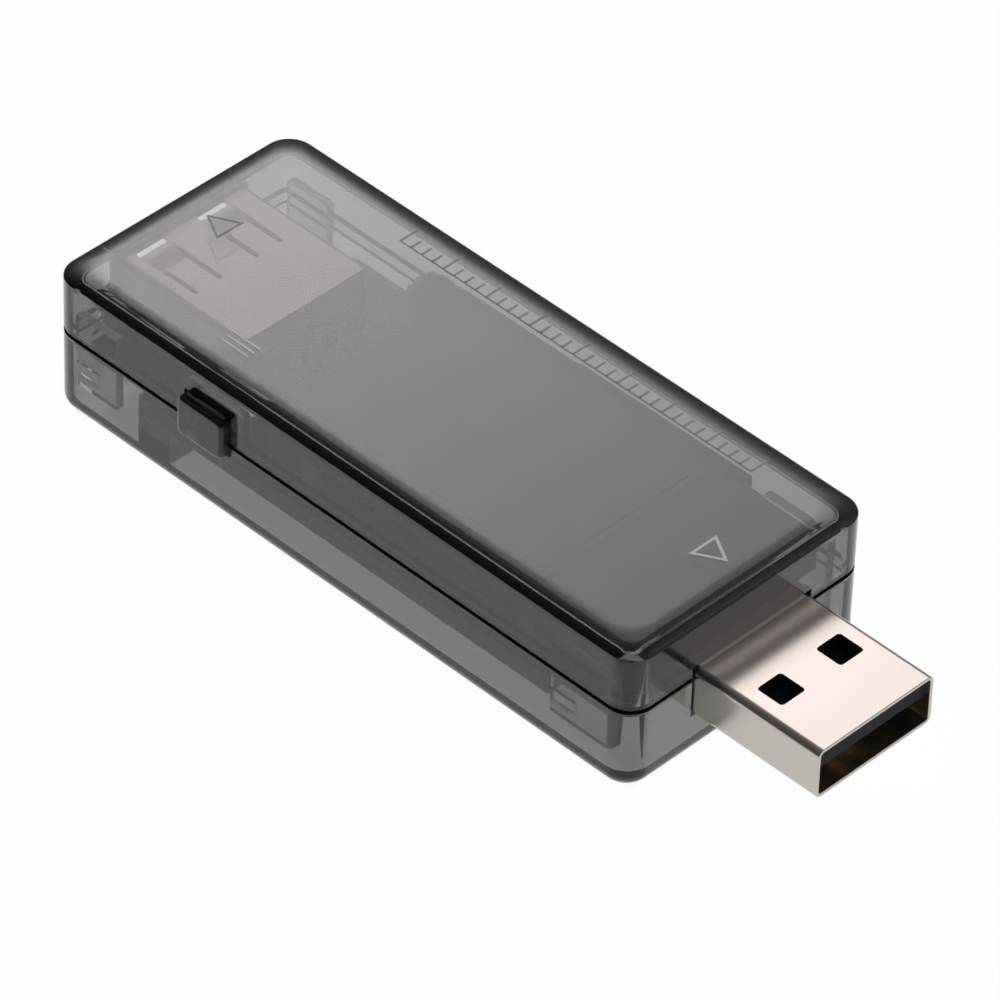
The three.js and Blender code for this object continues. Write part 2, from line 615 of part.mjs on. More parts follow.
addPart('microcontroller', leadedChip(6, -2, 7.2, 4.4, 1.3, 10, 0.65, 1), 'epoxy');
addPart('memory_chip', leadedChip(-3.5, 3.8, 4.9, 3.9, 1.5, 4, 1.27, 1), 'epoxy');
addPart('amplifier_chip', leadedChip(-3.5, -4.5, 4.9, 3.9, 1.5, 4, 1.27, 1), 'epoxy');
addPart('regulator_chip', leadedChip(14.5, 4.6, 4.5, 2.5, 1.5, 3, 1.5, 1), 'epoxy');
addPart('crystal', flatPart(13.6, -4.2, 5, 3.2, 1, 1), 'tin');
addPart('shunt_resistor', flatPart(-9, -0.6, 6.4, 3.2, 0.7, -1), 'epoxy');
addPart('protection_diode', flatPart(12, 5, 4.4, 2.6, 2, -1), 'epoxy');

const CAPACITORS = [[11.2, 1.2, 1], [2.2, 5.4, 1], [17, -1, -1], [-1.5, -5, -1], [8, -5.2, -1]];
CAPACITORS.forEach(([x, y, side], index) => {
  addPart(`capacitor_${index + 1}`, flatPart(x, y, 2, 1.25, 1.1, side), 'ceramic');
});

const RESISTORS = [[0.6, 1.2, 1], [0.6, -1.2, 1], [11.2, -7.4, 1], [-4.5, 5.5, -1], [-16, 6, -1], [4, -6.5, -1]];
RESISTORS.forEach(([x, y, side], index) => {
  addPart(`resistor_${index + 1}`, flatPart(x, y, 1.6, 0.85, 0.5, side), 'epoxy');
});

export default meter;
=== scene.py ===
import json
import math
import random

import bmesh
import bpy
from mathutils import Matrix, Vector


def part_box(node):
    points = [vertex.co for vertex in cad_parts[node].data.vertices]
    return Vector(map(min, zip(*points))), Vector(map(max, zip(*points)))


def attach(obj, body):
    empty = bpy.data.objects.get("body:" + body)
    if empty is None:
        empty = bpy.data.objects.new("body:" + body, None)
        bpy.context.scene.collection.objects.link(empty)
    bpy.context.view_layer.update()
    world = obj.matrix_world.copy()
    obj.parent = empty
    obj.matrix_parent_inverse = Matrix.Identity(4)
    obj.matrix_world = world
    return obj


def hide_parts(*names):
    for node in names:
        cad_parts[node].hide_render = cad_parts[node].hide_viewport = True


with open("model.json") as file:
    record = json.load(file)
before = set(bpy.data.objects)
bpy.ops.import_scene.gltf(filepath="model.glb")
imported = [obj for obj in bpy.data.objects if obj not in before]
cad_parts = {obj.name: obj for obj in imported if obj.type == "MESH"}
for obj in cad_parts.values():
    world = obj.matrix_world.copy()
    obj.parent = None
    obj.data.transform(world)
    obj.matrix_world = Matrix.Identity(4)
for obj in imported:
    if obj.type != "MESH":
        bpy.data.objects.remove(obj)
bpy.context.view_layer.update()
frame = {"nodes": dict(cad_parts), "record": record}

METRES = 0.001
BODY = "meter"
BUTTON_BODY = "button"
PLUNGER_BODY = "plunger"


def box_mm(node):
    """Lowest and highest corner of a CAD node, in millimetres."""
    low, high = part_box(node)
    return low / METRES, high / METRES


# ------------------------------------------------------------------ driving sizes

TOP_HIGH = box_mm("top_cover")[1]
BOARD_LOW, BOARD_HIGH = box_mm("circuit_board")
KEY_LOW, KEY_HIGH = box_mm("menu_button")
PLUG_LOW, PLUG_HIGH = box_mm("plug_shell")
SOCKET_LOW, SOCKET_HIGH = box_mm("socket_shell")

# Sheet metal of the plug's and the socket's shells.
SHEET = 0.3

# Case: outer size, walls, and the lip of the top half inside the bottom half.
HALF_LENGTH = TOP_HIGH.x
HALF_WIDTH = TOP_HIGH.y
CASE_TOP = TOP_HIGH.z
PARTING = box_mm("bottom_cover")[1].z
CORNER_RADIUS = 2.14
INNER_CORNER = 1.0
LEAST_CORNER = 0.6
WALL = 1.4
SKIN = 1.2
FLOOR_SKIN = 1.0
LIP_DEPTH = 0.8
LIP_THICKNESS = 0.5
LIP_GAP = 0.05
TOP_EDGE_RUN = 2.2
TOP_EDGE_DROP = 0.65
BOTTOM_FILLET = 1.33
INSIDE_FILLET = 0.5
FLOOR_FILLET = 0.25
SEAM_ROUND = 0.18
SEAM_GAP = 0.05
CORNER_STEPS = 14

# Edge round of the small parts, and the angles from which an edge is rounded or drawn sharp.
SOFT_EDGE = 0.08
SOFT_EDGE_STEPS = 2
SHARP_ANGLE = math.radians(40)
SHADING_ANGLE = math.radians(32)

# Reach of the faces painted near black as shade: above the parting line, round the lip's end, behind the
# wall, above the button.
SEAM_SHADE = 0.12
LIP_SHADE = 0.06
WALL_SHADE = 0.1
BUTTON_SHADE = 0.15

# How far a block goes into the piece it joins, and how far a cutter goes past the one it cuts.
JOIN = 0.2
OVERSHOOT = 1.0

# Snap arms of the top half: first and last x of each, heights of the root above the parting line,
# lowest z, and the hook's start along the arm, length, depth and lowest and highest z.
SNAP_SPANS = ((-28.0, -23.7), (21.6, 27.2))
SNAP_THICKNESS = 0.8
SNAP_CLEARANCE = 0.08
SNAP_ROOT = (-0.2, 1.8)
SNAP_BOTTOM = 2.6
HOOK_START = 0.4
HOOK_LENGTH = 2.0
HOOK_DEPTH = 0.3
HOOK = (3.9, 4.9)
# Pockets for the hooks: play along the wall, depth, and play above and below.
POCKET_PLAY = 0.2
POCKET_DEPTH = 0.45
POCKET_GAP = 0.15
# Side of the case, first and last x of each ledge that carries the board.
LEDGES = ((-1, -21.2, -17.8), (1, -21.2, -19.7), (1, 19.7, 21.2))
LEDGE_DEPTH = 3.1

BUTTON_X = -13.2
BUTTON_Z = 8.3
BUTTON_LENGTH = 4.8
BUTTON_HEIGHT = 3.6
BUTTON_GAP = 0.07
BUTTON_EDGE = 0.35
BUTTON_CORNER = 0.5
BUTTON_HOLE_DEPTH = WALL + 0.4
# Flange: how much it is larger than the cap, and its faces' distances in from the wall.
FLANGE_MORE_X = 0.8
FLANGE_MORE_Z = 0.55
FLANGE_CORNER = 0.6
FLANGE_FACES = (0.1, 0.7)
CAP_DEPTH = 0.4
STEM_HALF_WIDTH = 1
STEM_DEPTH = 0.5
STEM_HEIGHTS = (6.95, 8.25)

PLUG_Y = (PLUG_LOW.y + PLUG_HIGH.y) / 2
PLUG_HALF_WIDTH = 6.0
PLUG_CORNER = 0.62
PLUG_LIP = 0.06
# Hole for the plug in the end wall: its depth, and the play at the sides, below and above.
PLUG_HOLE_DEPTH = WALL + 0.5
PLUG_HOLE_GAP = 0.15
PLUG_HOLE_BELOW = 0.1
PLUG_HOLE_ABOVE = 0.2
# Windows of the plug: side, corner radius, front edge's distance from the tip, distance from the middle.
WINDOW_SIZE = 2.5
WINDOW_CORNER = 0.3
WINDOW_SETBACK = 5.16
WINDOW_OFFSET = 3.05
EAR_SPAN = (24.2, 26.2)
EAR_REACH = 1.5
EAR_JOIN = 0.1

SOCKET_Y = -0.65
SOCKET_HALF_WIDTH = 6.55
SOCKET_CORNER = 0.55
SOCKET_RIM = 0.08
RIM_FLARE = 0.3
RIM_JOIN = 0.1
# Mouth in the end wall: play at the sides, play below and above, corner and chamfer.
MOUTH_SIDE_GAP = 0.1
MOUTH_GAP = 0.15
MOUTH_CORNER = 0.3
MOUTH_CHAMFER = 0.45
# Legs through the board: distances behind the rim, half width, and how far they run up the shell.
LEG_PLACES = (2.9, 9.1)
LEG_HALF_WIDTH = 0.7
LEG_JOIN = 0.5
# Spring fingers: middles, width of the narrow part and of the slots beside it, the bar in front of
# the tip, and the fine slits beside the wide part with their overlap at the tip and the waist.
FINGER_OFFSETS = (-3.65, 2.6)
FINGER_WIDTH = 2.0
FINGER_SLOT = 0.5
FINGER_SLOT_CORNER = 0.24
FINGER_BAR = 0.75
FINGER_BAR_CORNER = 0.15
SLIT_HALF = 0.05
SLIT_CORNER = 0.04
SLIT_OVERLAP = (0.2, 0.5)
FINGER_TIP_X = SOCKET_LOW.x + 1.2
FINGER_WAIST_X = SOCKET_LOW.x + 3.6
FINGER_ROOT_X = SOCKET_LOW.x + 7.1
# How far a finger hangs down, and the shares of its length for the fall, the end and the rise.
FINGER_SAG = 1.1
FINGER_FALL = 0.36
FINGER_END = 0.9
FINGER_RISE = 0.5
FINGER_CUTS = 16
# How far inside a finger's outline, below its sheet and round its ends a point may lie to be bent.
BEND_MARGIN = 0.04
BEND_DEPTH = SHEET + 0.1
BEND_SLACK = 0.02

# ------------------------------------------------------------------ mesh building


def rounded_loop(x0, x1, y0, y1, radius, z, steps=CORNER_STEPS):
    """Points round a rounded rectangle at height z, anticlockwise seen from above."""
    corners = (
        (x1 - radius, y0 + radius, -90),
        (x1 - radius, y1 - radius, 0),
        (x0 + radius, y1 - radius, 90),
        (x0 + radius, y0 + radius, 180),
    )
    points = []
    for cx, cy, start in corners:
        for k in range(steps + 1):
            turn = math.radians(start + 90 * k / steps)
            points.append((cx + radius * math.cos(turn), cy + radius * math.sin(turn), z))
    return points


def arc(count):
    """Angles of a quarter turn in count steps."""
    return [math.radians(90 * k / count) for k in range(count + 1)]


def loft(loops, ring=False):
    """A closed bmesh through loops of equal length. The ends are capped, or joined if ring is true."""
    bm = bmesh.new()
    rows = [[bm.verts.new(point) for point in loop] for loop in loops]
    pairs = list(zip(rows, rows[1:]))
    if ring:
        pairs.append((rows[-1], rows[0]))
    else:
        bm.faces.new(rows[0])
        bm.faces.new(rows[-1])
    count = len(rows[0])
    for low, high in pairs:
        for k in range(count):
            n = (k + 1) % count
            bm.faces.new((low[k], low[n], high[n], high[k]))
    bmesh.ops.recalc_face_normals(bm, faces=bm.faces)
    return bm


def turned(bm, matrix):
    """bm with a matrix applied."""
    bmesh.ops.transform(bm, matrix=matrix, verts=bm.verts)
    bmesh.ops.recalc_face_normals(bm, faces=bm.faces)
    return bm


# Local (x, y, z) becomes row (z, x, y): a loft along the case's length.
ALONG_X = Matrix(((0, 0, 1, 0), (1, 0, 0, 0), (0, 1, 0, 0), (0, 0, 0, 1)))
# Local (x, y, z) becomes row (x, -z, y): a loft out of the button's side.
ALONG_MINUS_Y = Matrix(((1, 0, 0, 0), (0, 0, -1, 0), (0, 1, 0, 0), (0, 0, 0, 1)))


def block(x0, x1, y0, y1, z0, z1):
    """A rectangular block."""
    loops = []
    for z in (z0, z1):
        loops.append([(x0, y0, z), (x1, y0, z), (x1, y1, z), (x0, y1, z)])
    return loft(loops)


def prism(points, z0, z1):
    """A straight prism over an outline in X and Y."""
    return loft([[(x, y, z) for x, y in points] for z in (z0, z1)])


def mesh_object(name, bm):
    """A linked object, still in millimetres."""
    mesh = bpy.data.meshes.new(name)
    bm.to_mesh(mesh)
    bm.free()
    obj = bpy.data.objects.new(name, mesh)
    bpy.context.scene.collection.objects.link(obj)
    return obj


def apply_modifiers(obj):
    """Replaces obj's mesh by what its modifiers make of it."""
    bpy.context.view_layer.update()
    graph = bpy.context.evaluated_depsgraph_get()
    mesh = bpy.data.meshes.new_from_object(obj.evaluated_get(graph))
    old = obj.data
    obj.modifiers.clear()
    obj.data = mesh
    bpy.data.meshes.remove(old)


def combine(obj, tools, operation):
    """Adds tools to obj (UNION) or cuts them from it (DIFFERENCE)."""
    for bm in tools:
        tool = mesh_object("tool", bm)
        modifier = obj.modifiers.new("combine", "BOOLEAN")
        modifier.operation = operation
        modifier.solver = "EXACT"
        modifier.object = tool
        apply_modifiers(obj)
        bpy.data.objects.remove(tool)
    return obj


def round_edges(obj):
    """Rounds every sharp edge."""
    modifier = obj.modifiers.new("bevel", "BEVEL")
    modifier.width = SOFT_EDGE
    modifier.segments = SOFT_EDGE_STEPS
    modifier.limit_method = "ANGLE"
    modifier.angle_limit = SHARP_ANGLE
    modifier.use_clamp_overlap = True
    apply_modifiers(obj)
    return obj


def wall_inset(x, y):
    """How far a point lies inside the case's outer walls, up to the corner radius."""
    over_x = max(abs(x) - HALF_LENGTH + CORNER_RADIUS, 0)
    over_y = max(abs(y) - HALF_WIDTH + CORNER_RADIUS, 0)
    return CORNER_RADIUS - math.hypot(over_x, over_y)


def in_narrow_gap(face):
    """True for a face in the parting line, at the lip's end, or over the button or the mouth."""
    x, y, z = face.center / METRES
    inset = wall_inset(x, y)
    in_wall = inset < WALL + WALL_SHADE
    near_seam = -SEAM_GAP - SEAM_ROUND < z - PARTING < SEAM_SHADE
    in_seam = near_seam and inset < WALL - LIP_THICKNESS - LIP_GAP
    at_lip_end = inset < WALL and abs(z - PARTING + LIP_DEPTH) < LIP_SHADE
    over_button = y < 0 and abs(x - BUTTON_X) < BUTTON_LENGTH / 2
    over_button = over_button and abs(z - BUTTON_Z - BUTTON_HEIGHT / 2) < BUTTON_SHADE
    over_mouth = x < 0 and abs(y - SOCKET_Y) < SOCKET_HALF_WIDTH
    over_mouth = over_mouth and z > SOCKET_HIGH.z and face.normal.z < -0.5
    return in_seam or at_lip_end or (in_wall and (over_button or over_mouth))


def paint_gap_shade(obj):
    """Paints the faces inside the case's narrow gaps near black: painted shade for the dark gaps."""
    obj.data.materials.append(MATERIALS["painted_gap_shade"])
    for face in obj.data.polygons:
        if in_narrow_gap(face):
            face.material_index = 1


def finish_piece(obj, material, body=BODY, replaces=()):
    """Scales obj to metres, shades it, gives it its material and fixes it to its body."""
    obj.data.transform(Matrix.Scale(METRES, 4))
    bm = bmesh.new()
    bm.from_mesh(obj.data)
    bmesh.ops.remove_doubles(bm, verts=bm.verts, dist=1e-7)
    bm.to_mesh(obj.data)
    bm.free()
    obj.data.polygons.foreach_set("use_smooth", [True] * len(obj.data.polygons))
    obj.data.set_sharp_from_angle(angle=SHADING_ANGLE)
    weighted = obj.modifiers.new("weighted normals", "WEIGHTED_NORMAL")
    weighted.keep_sharp = True
    weighted.weight = 50
    obj.data.materials.clear()
    obj.data.materials.append(material)
    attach(obj, body)
    if replaces:
        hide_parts(*replaces)
    return obj


# ------------------------------------------------------------------ materials


def new_material(name):
    """An empty node material and its Principled shader."""
    material = bpy.data.materials.new(name)
    material.use_nodes = True
    return material, material.node_tree, material.node_tree.nodes["Principled BSDF"]


def noise(tree, scale, detail):
    """Noise over the piece's own coordinates; scale is features per metre."""
    place = tree.nodes.new("ShaderNodeTexCoord")
    texture = tree.nodes.new("ShaderNodeTexNoise")
    texture.inputs["Scale"].default_value = scale
    texture.inputs["Detail"].default_value = detail
    tree.links.new(place.outputs["Object"], texture.inputs["Vector"])
    return texture.outputs["Fac"]


def spread(tree, value, low, high, start=0.3, end=0.7):
    """value moved from start..end to low..high."""
    node = tree.nodes.new("ShaderNodeMapRange")
    node.inputs["From Min"].default_value = start
    node.inputs["From Max"].default_value = end
    node.inputs["To Min"].default_value = low
    node.inputs["To Max"].default_value = high
    tree.links.new(value, node.inputs["Value"])
    return node.outputs["Result"]


def blended(tree, value, dark, light):
    """A colour between dark and light."""
    node = tree.nodes.new("ShaderNodeMix")
    node.data_type = "RGBA"
    node.inputs["A"].default_value = (*dark, 1)
    node.inputs["B"].default_value = (*light, 1)
    tree.links.new(value, node.inputs["Factor"])
    return node.outputs["Result"]


def math_node(tree, operation, first, second=None):
    """The result of an operation on links or fixed values."""
    node = tree.nodes.new("ShaderNodeMath")
    node.operation = operation
    for socket, value in zip(node.inputs, (first, second)):
        if isinstance(value, float):
            socket.default_value = value
        elif value is not None:
            tree.links.new(value, socket)
    return node.outputs[0]


def eased_spread(tree, value, low, high, start, end):
    """value moved from start..end to low..high with soft ends."""
    result = spread(tree, value, low, high, start, end)
    result.node.interpolation_type = "SMOOTHSTEP"
    return result


def bump(tree, shader, height, strength, distance):
    """Bump on shader from a height value; distance is in metres."""
    node = tree.nodes.new("ShaderNodeBump")
    node.inputs["Strength"].default_value = strength
    node.inputs["Distance"].default_value = distance
    tree.links.new(height, node.inputs["Height"])
    tree.links.new(node.outputs["Normal"], shader.inputs["Normal"])


PLASTIC_INDEX = 1.54
COAT_ROUGHNESS = 0.15
DYE = (0.03, 0.03, 0.02, 1)


def smoke_plastic(name, density, roughness=0.02):
    """Clear plastic with grey dye: the deeper it is, the darker it looks. Its coat reflects the room."""
    material, tree, shader = new_material(name)
    shader.inputs["Base Color"].default_value = (1, 1, 1, 1)
    shader.inputs["Transmission Weight"].default_value = 1
    shader.inputs["IOR"].default_value = PLASTIC_INDEX
    polish = spread(tree, noise(tree, 120, 2), roughness, roughness + 0.008)
    tree.links.new(polish, shader.inputs["Roughness"])
    shader.inputs["Specular Tint"].default_value = (0, 0, 0, 1)
    shader.inputs["Coat Weight"].default_value = 1
    shader.inputs["Coat Roughness"].default_value = COAT_ROUGHNESS
    shader.inputs["Coat IOR"].default_value = PLASTIC_INDEX
    absorb = tree.nodes.new("ShaderNodeVolumeAbsorption")
    absorb.inputs["Color"].default_value = DYE
    absorb.inputs["Density"].default_value = density
    output = tree.nodes["Material Output"]
    tree.links.new(absorb.outputs["Volume"], output.inputs["Volume"])
    return material


METAL_GRAIN = 9000
METAL_BUMP = 0.02


def plated_metal(name, dark, light, roughness):
    """Plated sheet metal with a faint grain."""
    material, tree, shader = new_material(name)
    shader.inputs["Metallic"].default_value = 1
    cloudy = noise(tree, 180, 3)
    tree.links.new(blended(tree, cloudy, dark, light), shader.inputs["Base Color"])
    fine = noise(tree, METAL_GRAIN, 4)
    tree.links.new(spread(tree, fine, roughness * 0.92, roughness * 1.1), shader.inputs["Roughness"])
    bump(tree, shader, fine, METAL_BUMP, 0.00002)
    return material


def moulded(name, dark, light, roughness, grain=3000, depth=0.1, shine=0.5):
    """Moulded plastic with a fine texture."""
    material, tree, shader = new_material(name)
    shader.inputs["Specular IOR Level"].default_value = shine
    tree.links.new(blended(tree, noise(tree, 500, 4), dark, light), shader.inputs["Base Color"])
    fine = noise(tree, grain, 3)
    tree.links.new(spread(tree, fine, roughness * 0.85, roughness * 1.15), shader.inputs["Roughness"])
    bump(tree, shader, fine, depth, 0.00003)
    return material


MATERIALS = {
    "smoke_case": smoke_plastic("smoke_case", 490),
    "smoke_button": smoke_plastic("smoke_button", 620, 0.16),
    "nickel": plated_metal("nickel", (0.71, 0.665, 0.605), (0.745, 0.70, 0.64), 0.24),
    # A darker copy of the nickel, used on the socket's shell: painted shade.
    "shaded_nickel": plated_metal("shaded_nickel", (0.255, 0.24, 0.23), (0.285, 0.268, 0.255), 0.25),
    "tin": plated_metal("tin", (0.55, 0.55, 0.54), (0.66, 0.66, 0.65), 0.32),
    "contact_gold": plated_metal("contact_gold", (0.72, 0.52, 0.22), (0.86, 0.66, 0.32), 0.22),
    "slate_plastic": moulded(
        "slate_plastic", (0.02, 0.022, 0.027), (0.03, 0.032, 0.038), 0.5, 3000, 0.05, 0.12
    ),
    "black_plastic": moulded("black_plastic", (0.012, 0.012, 0.013), (0.025, 0.025, 0.026), 0.5),
    "solder_mask": moulded(
        "solder_mask", (0.012, 0.013, 0.013), (0.015, 0.016, 0.016), 0.3, 3000, 0.02
    ),
    "display_glass": moulded(
        "display_glass", (0.02, 0.021, 0.021), (0.03, 0.031, 0.031), 0.3, 800, 0.02, 0.15
    ),
    "polariser": moulded(
        "polariser", (0.035, 0.036, 0.035), (0.045, 0.046, 0.045), 0.35, 900, 0.03, 0.12
    ),
    "white_plastic": moulded("white_plastic", (0.7, 0.7, 0.68), (0.8, 0.8, 0.78), 0.5),
    "polyimide": moulded(
        "polyimide", (0.022, 0.018, 0.014), (0.036, 0.028, 0.02), 0.4, 3000, 0.05, 0.2
    ),
    "foam": moulded("foam", (0.010, 0.010, 0.011), (0.022, 0.022, 0.023), 0.6, 4000, 0.3),
    "tape": moulded("tape", (0.012, 0.012, 0.012), (0.02, 0.02, 0.02), 0.6, 3000, 0.1, 0.2),
    "ceramic": moulded("ceramic", (0.42, 0.29, 0.17), (0.52, 0.38, 0.24), 0.5),
    "ink": plated_metal("ink", (0.62, 0.63, 0.65), (0.74, 0.75, 0.77), 0.5),
    "ink_grey": plated_metal("ink_grey", (0.34, 0.345, 0.35), (0.40, 0.405, 0.41), 0.5),
    # A darker copy of the contact gold, used on the socket's contacts: painted shade.
    "shaded_gold": plated_metal("shaded_gold", (0.07, 0.06, 0.045), (0.10, 0.085, 0.06), 0.4),
    # Near-black opaque plastic on the case's gap faces: painted shade for the dark gaps between the
    # case's parts.
    "painted_gap_shade": moulded("painted_gap_shade", (0.004, 0.004, 0.004), (0.01, 0.01, 0.01), 0.8, 3000, 0.1, 0.1),
}

# ------------------------------------------------------------------ case


def case_loop(inset, z, radius=None):
    """A loop round the case, inset from its outer walls."""
    corner = max(CORNER_RADIUS - inset, LEAST_CORNER) if radius is None else radius
    return rounded_loop(
        -HALF_LENGTH + inset, HALF_LENGTH - inset, -HALF_WIDTH + inset, HALF_WIDTH - inset, corner, z
    )


def mouth_cutter():
    """The socket's mouth in the end wall, widened outwards by its chamfer."""
    profile = (
        (SOCKET_LOW.x, 0),
        (-HALF_LENGTH + MOUTH_CHAMFER, 0),
        (-HALF_LENGTH - OVERSHOOT, MOUTH_CHAMFER + OVERSHOOT),
    )
    loops = []
    for x, grown in profile:
        side, above = MOUTH_SIDE_GAP + grown, MOUTH_GAP + grown
        loops.append(rounded_loop(SOCKET_LOW.y - side, SOCKET_HIGH.y + side, BOARD_HIGH.z - above,
                                  SOCKET_HIGH.z + above, MOUTH_CORNER, x, steps=4))
    return turned(loft(loops), ALONG_X)


def case_openings():
    """The socket mouth, the plug's hole and the button's hole, as cutters."""
    plug_half = PLUG_HALF_WIDTH + PLUG_HOLE_GAP
    front = block(HALF_LENGTH - PLUG_HOLE_DEPTH, HALF_LENGTH + OVERSHOOT, PLUG_Y - plug_half,
                  PLUG_Y + plug_half, PLUG_LOW.z - PLUG_HOLE_BELOW, PLUG_HIGH.z + PLUG_HOLE_ABOVE)
    half_x = BUTTON_LENGTH / 2 + BUTTON_GAP
    half_z = BUTTON_HEIGHT / 2 + BUTTON_GAP
    side = block(BUTTON_X - half_x, BUTTON_X + half_x, -HALF_WIDTH - OVERSHOOT,
                 -HALF_WIDTH + BUTTON_HOLE_DEPTH, BUTTON_Z - half_z, BUTTON_Z + half_z)
    return [mouth_cutter(), front, side]


def mirrored_block(x0, x1, side, a, b, z0, z1):
    """A block across the inner face of a long wall; a and b are distances outwards from that face."""
    face = HALF_WIDTH - WALL
    ya, yb = side * (face + a), side * (face + b)
    return block(x0, x1, min(ya, yb), max(ya, yb), z0, z1)


def snap_arms():
    """Four arms on the long walls, each with a root on the wall above the seam and a hook."""
    arms = []
    root_low, root_high = PARTING + SNAP_ROOT[0], PARTING + SNAP_ROOT[1]
    for x0, x1 in SNAP_SPANS:
        hook = x0 + HOOK_START
        for side in (-1, 1):
            inner = -SNAP_THICKNESS
            arms.append(mirrored_block(x0, x1, side, inner, JOIN / 2, root_low, root_high))
            arms.append(mirrored_block(x0, x1, side, inner, -SNAP_CLEARANCE, SNAP_BOTTOM, PARTING))
            arms.append(mirrored_block(hook, hook + HOOK_LENGTH, side, -JOIN, HOOK_DEPTH, *HOOK))
    return arms


def top_cover():
    """Upper half of the case: pillow-edged lid, walls, a lip that drops inside, and four snap arms."""
    ceiling = CASE_TOP - SKIN
    loops = []
    for turn in arc(5):
        inset = WALL + INSIDE_FILLET * (1 - math.sin(turn))
        loops.append(case_loop(inset, ceiling - INSIDE_FILLET * (1 - math.cos(turn)), INNER_CORNER))
    loops.append(case_loop(WALL, PARTING - LIP_DEPTH))
    loops.append(case_loop(WALL - LIP_THICKNESS, PARTING - LIP_DEPTH))
    loops.append(case_loop(WALL - LIP_THICKNESS, PARTING + SEAM_GAP))
    for turn in arc(3):
        inset = SEAM_ROUND * (1 - math.sin(turn))
        loops.append(case_loop(inset, PARTING + SEAM_GAP + SEAM_ROUND * (1 - math.cos(turn))))
    for turn in arc(14):
        inset = TOP_EDGE_RUN * (1 - math.cos(turn))
        loops.append(case_loop(inset, CASE_TOP - TOP_EDGE_DROP * (1 - math.sin(turn)), CORNER_RADIUS))
    cover = mesh_object("top_cover_shell", loft(loops))
    combine(cover, snap_arms(), "UNION")
    combine(cover, case_openings(), "DIFFERENCE")
    finish_piece(cover, MATERIALS["smoke_case"], replaces=["top_cover"])
    paint_gap_shade(cover)


def bottom_cover():
    """Lower half of the case: floor, walls rebated for the lip, snap pockets and board ledges."""
    loops = []
    for turn in arc(5):
        inset = WALL + FLOOR_FILLET * (1 - math.sin(turn))
        loops.append(case_loop(inset, FLOOR_SKIN + FLOOR_FILLET * (1 - math.cos(turn)), INNER_CORNER))
    rebate = WALL - LIP_THICKNESS - LIP_GAP
    loops.append(case_loop(WALL, PARTING - LIP_DEPTH - LIP_GAP))
    loops.append(case_loop(rebate, PARTING - LIP_DEPTH - LIP_GAP))
    loops.append(case_loop(rebate, PARTING - SEAM_GAP))
    for turn in arc(3):
        inset = SEAM_ROUND * (1 - math.sin(turn))
        loops.append(case_loop(inset, PARTING - SEAM_GAP - SEAM_ROUND * (1 - math.cos(turn))))
    for turn in arc(10):
        inset = BOTTOM_FILLET * (1 - math.cos(turn))
        loops.append(case_loop(inset, BOTTOM_FILLET * (1 - math.sin(turn))))
    cover = mesh_object("bottom_cover_shell", loft(loops))
    ledges = []
    pockets = []
    for side, x0, x1 in LEDGES:
        ledges.append(mirrored_block(x0, x1, side, -LEDGE_DEPTH, JOIN, FLOOR_SKIN - JOIN, BOARD_LOW.z))
    for side in (-1, 1):
        for x0, _ in SNAP_SPANS:
            start = x0 + HOOK_START - POCKET_PLAY
            end = x0 + HOOK_START + HOOK_LENGTH + POCKET_PLAY
            pockets.append(mirrored_block(start, end, side, -JOIN, POCKET_DEPTH,
                                          HOOK[0] - POCKET_GAP, HOOK[1] + POCKET_GAP))
    combine(cover, ledges, "UNION")
    combine(cover, pockets + case_openings(), "DIFFERENCE")
    finish_piece(cover, MATERIALS["smoke_case"], replaces=["bottom_cover"])
    paint_gap_shade(cover)


# ------------------------------------------------------------------ button


def key_loop(half_x, half_z, radius, out):
    """A loop round the button in its own plane; out is the distance towards -Y."""
    return rounded_loop(BUTTON_X - half_x, BUTTON_X + half_x, BUTTON_Z - half_z, BUTTON_Z + half_z,
                        radius, out, steps=6)


def menu_button():
    """Key cap with a rounded face, its inner flange and the stem that pushes the switch."""
    front = -KEY_LOW.y
    inside = HALF_WIDTH - WALL
    half_x, half_z = BUTTON_LENGTH / 2, BUTTON_HEIGHT / 2
    loops = []
    for turn in arc(6):
        inset = BUTTON_EDGE * (1 - math.sin(turn))
        depth = BUTTON_EDGE * (1 - math.cos(turn))
        loops.append(key_loop(half_x - inset, half_z - inset, BUTTON_CORNER, front - depth))
    loops.append(key_loop(half_x, half_z, BUTTON_CORNER, inside - CAP_DEPTH))
    button = mesh_object("menu_button_cap", turned(loft(loops), ALONG_MINUS_Y))
    flange_x, flange_z = half_x + FLANGE_MORE_X, half_z + FLANGE_MORE_Z
    flange = loft([key_loop(flange_x, flange_z, FLANGE_CORNER, inside - depth) for depth in FLANGE_FACES])
    stem = block(BUTTON_X - STEM_HALF_WIDTH, BUTTON_X + STEM_HALF_WIDTH, -inside + STEM_DEPTH, KEY_HIGH.y,
                 *STEM_HEIGHTS)
    combine(button, [turned(flange, ALONG_MINUS_Y), stem], "UNION")
    return finish_piece(button, MATERIALS["smoke_button"], BUTTON_BODY, ["menu_button"])


# ------------------------------------------------------------------ plug


def plug_loop(inset, x, radius):
    """A loop round the plug's section at x, drawn in Y and Z."""
    return rounded_loop(PLUG_Y - PLUG_HALF_WIDTH + inset, PLUG_Y + PLUG_HALF_WIDTH - inset,
                        PLUG_LOW.z + inset, PLUG_HIGH.z - inset, radius, x, steps=8)


def window_cutters():
    """Four window punches, two through the top sheet and two through the bottom sheet."""
    half = WINDOW_SIZE / 2
    x1 = PLUG_HIGH.x - WINDOW_SETBACK
    x0 = x1 - WINDOW_SIZE
    cutters = []
    for y in (PLUG_Y - WINDOW_OFFSET, PLUG_Y + WINDOW_OFFSET):
        for sheet in (PLUG_HIGH.z, PLUG_LOW.z):
            loops = []
            for z in (sheet - OVERSHOOT, sheet + OVERSHOOT):
                loops.append(rounded_loop(x0, x1, y - half, y + half, WINDOW_CORNER, z, steps=5))
            cutters.append(loft(loops))
    return cutters


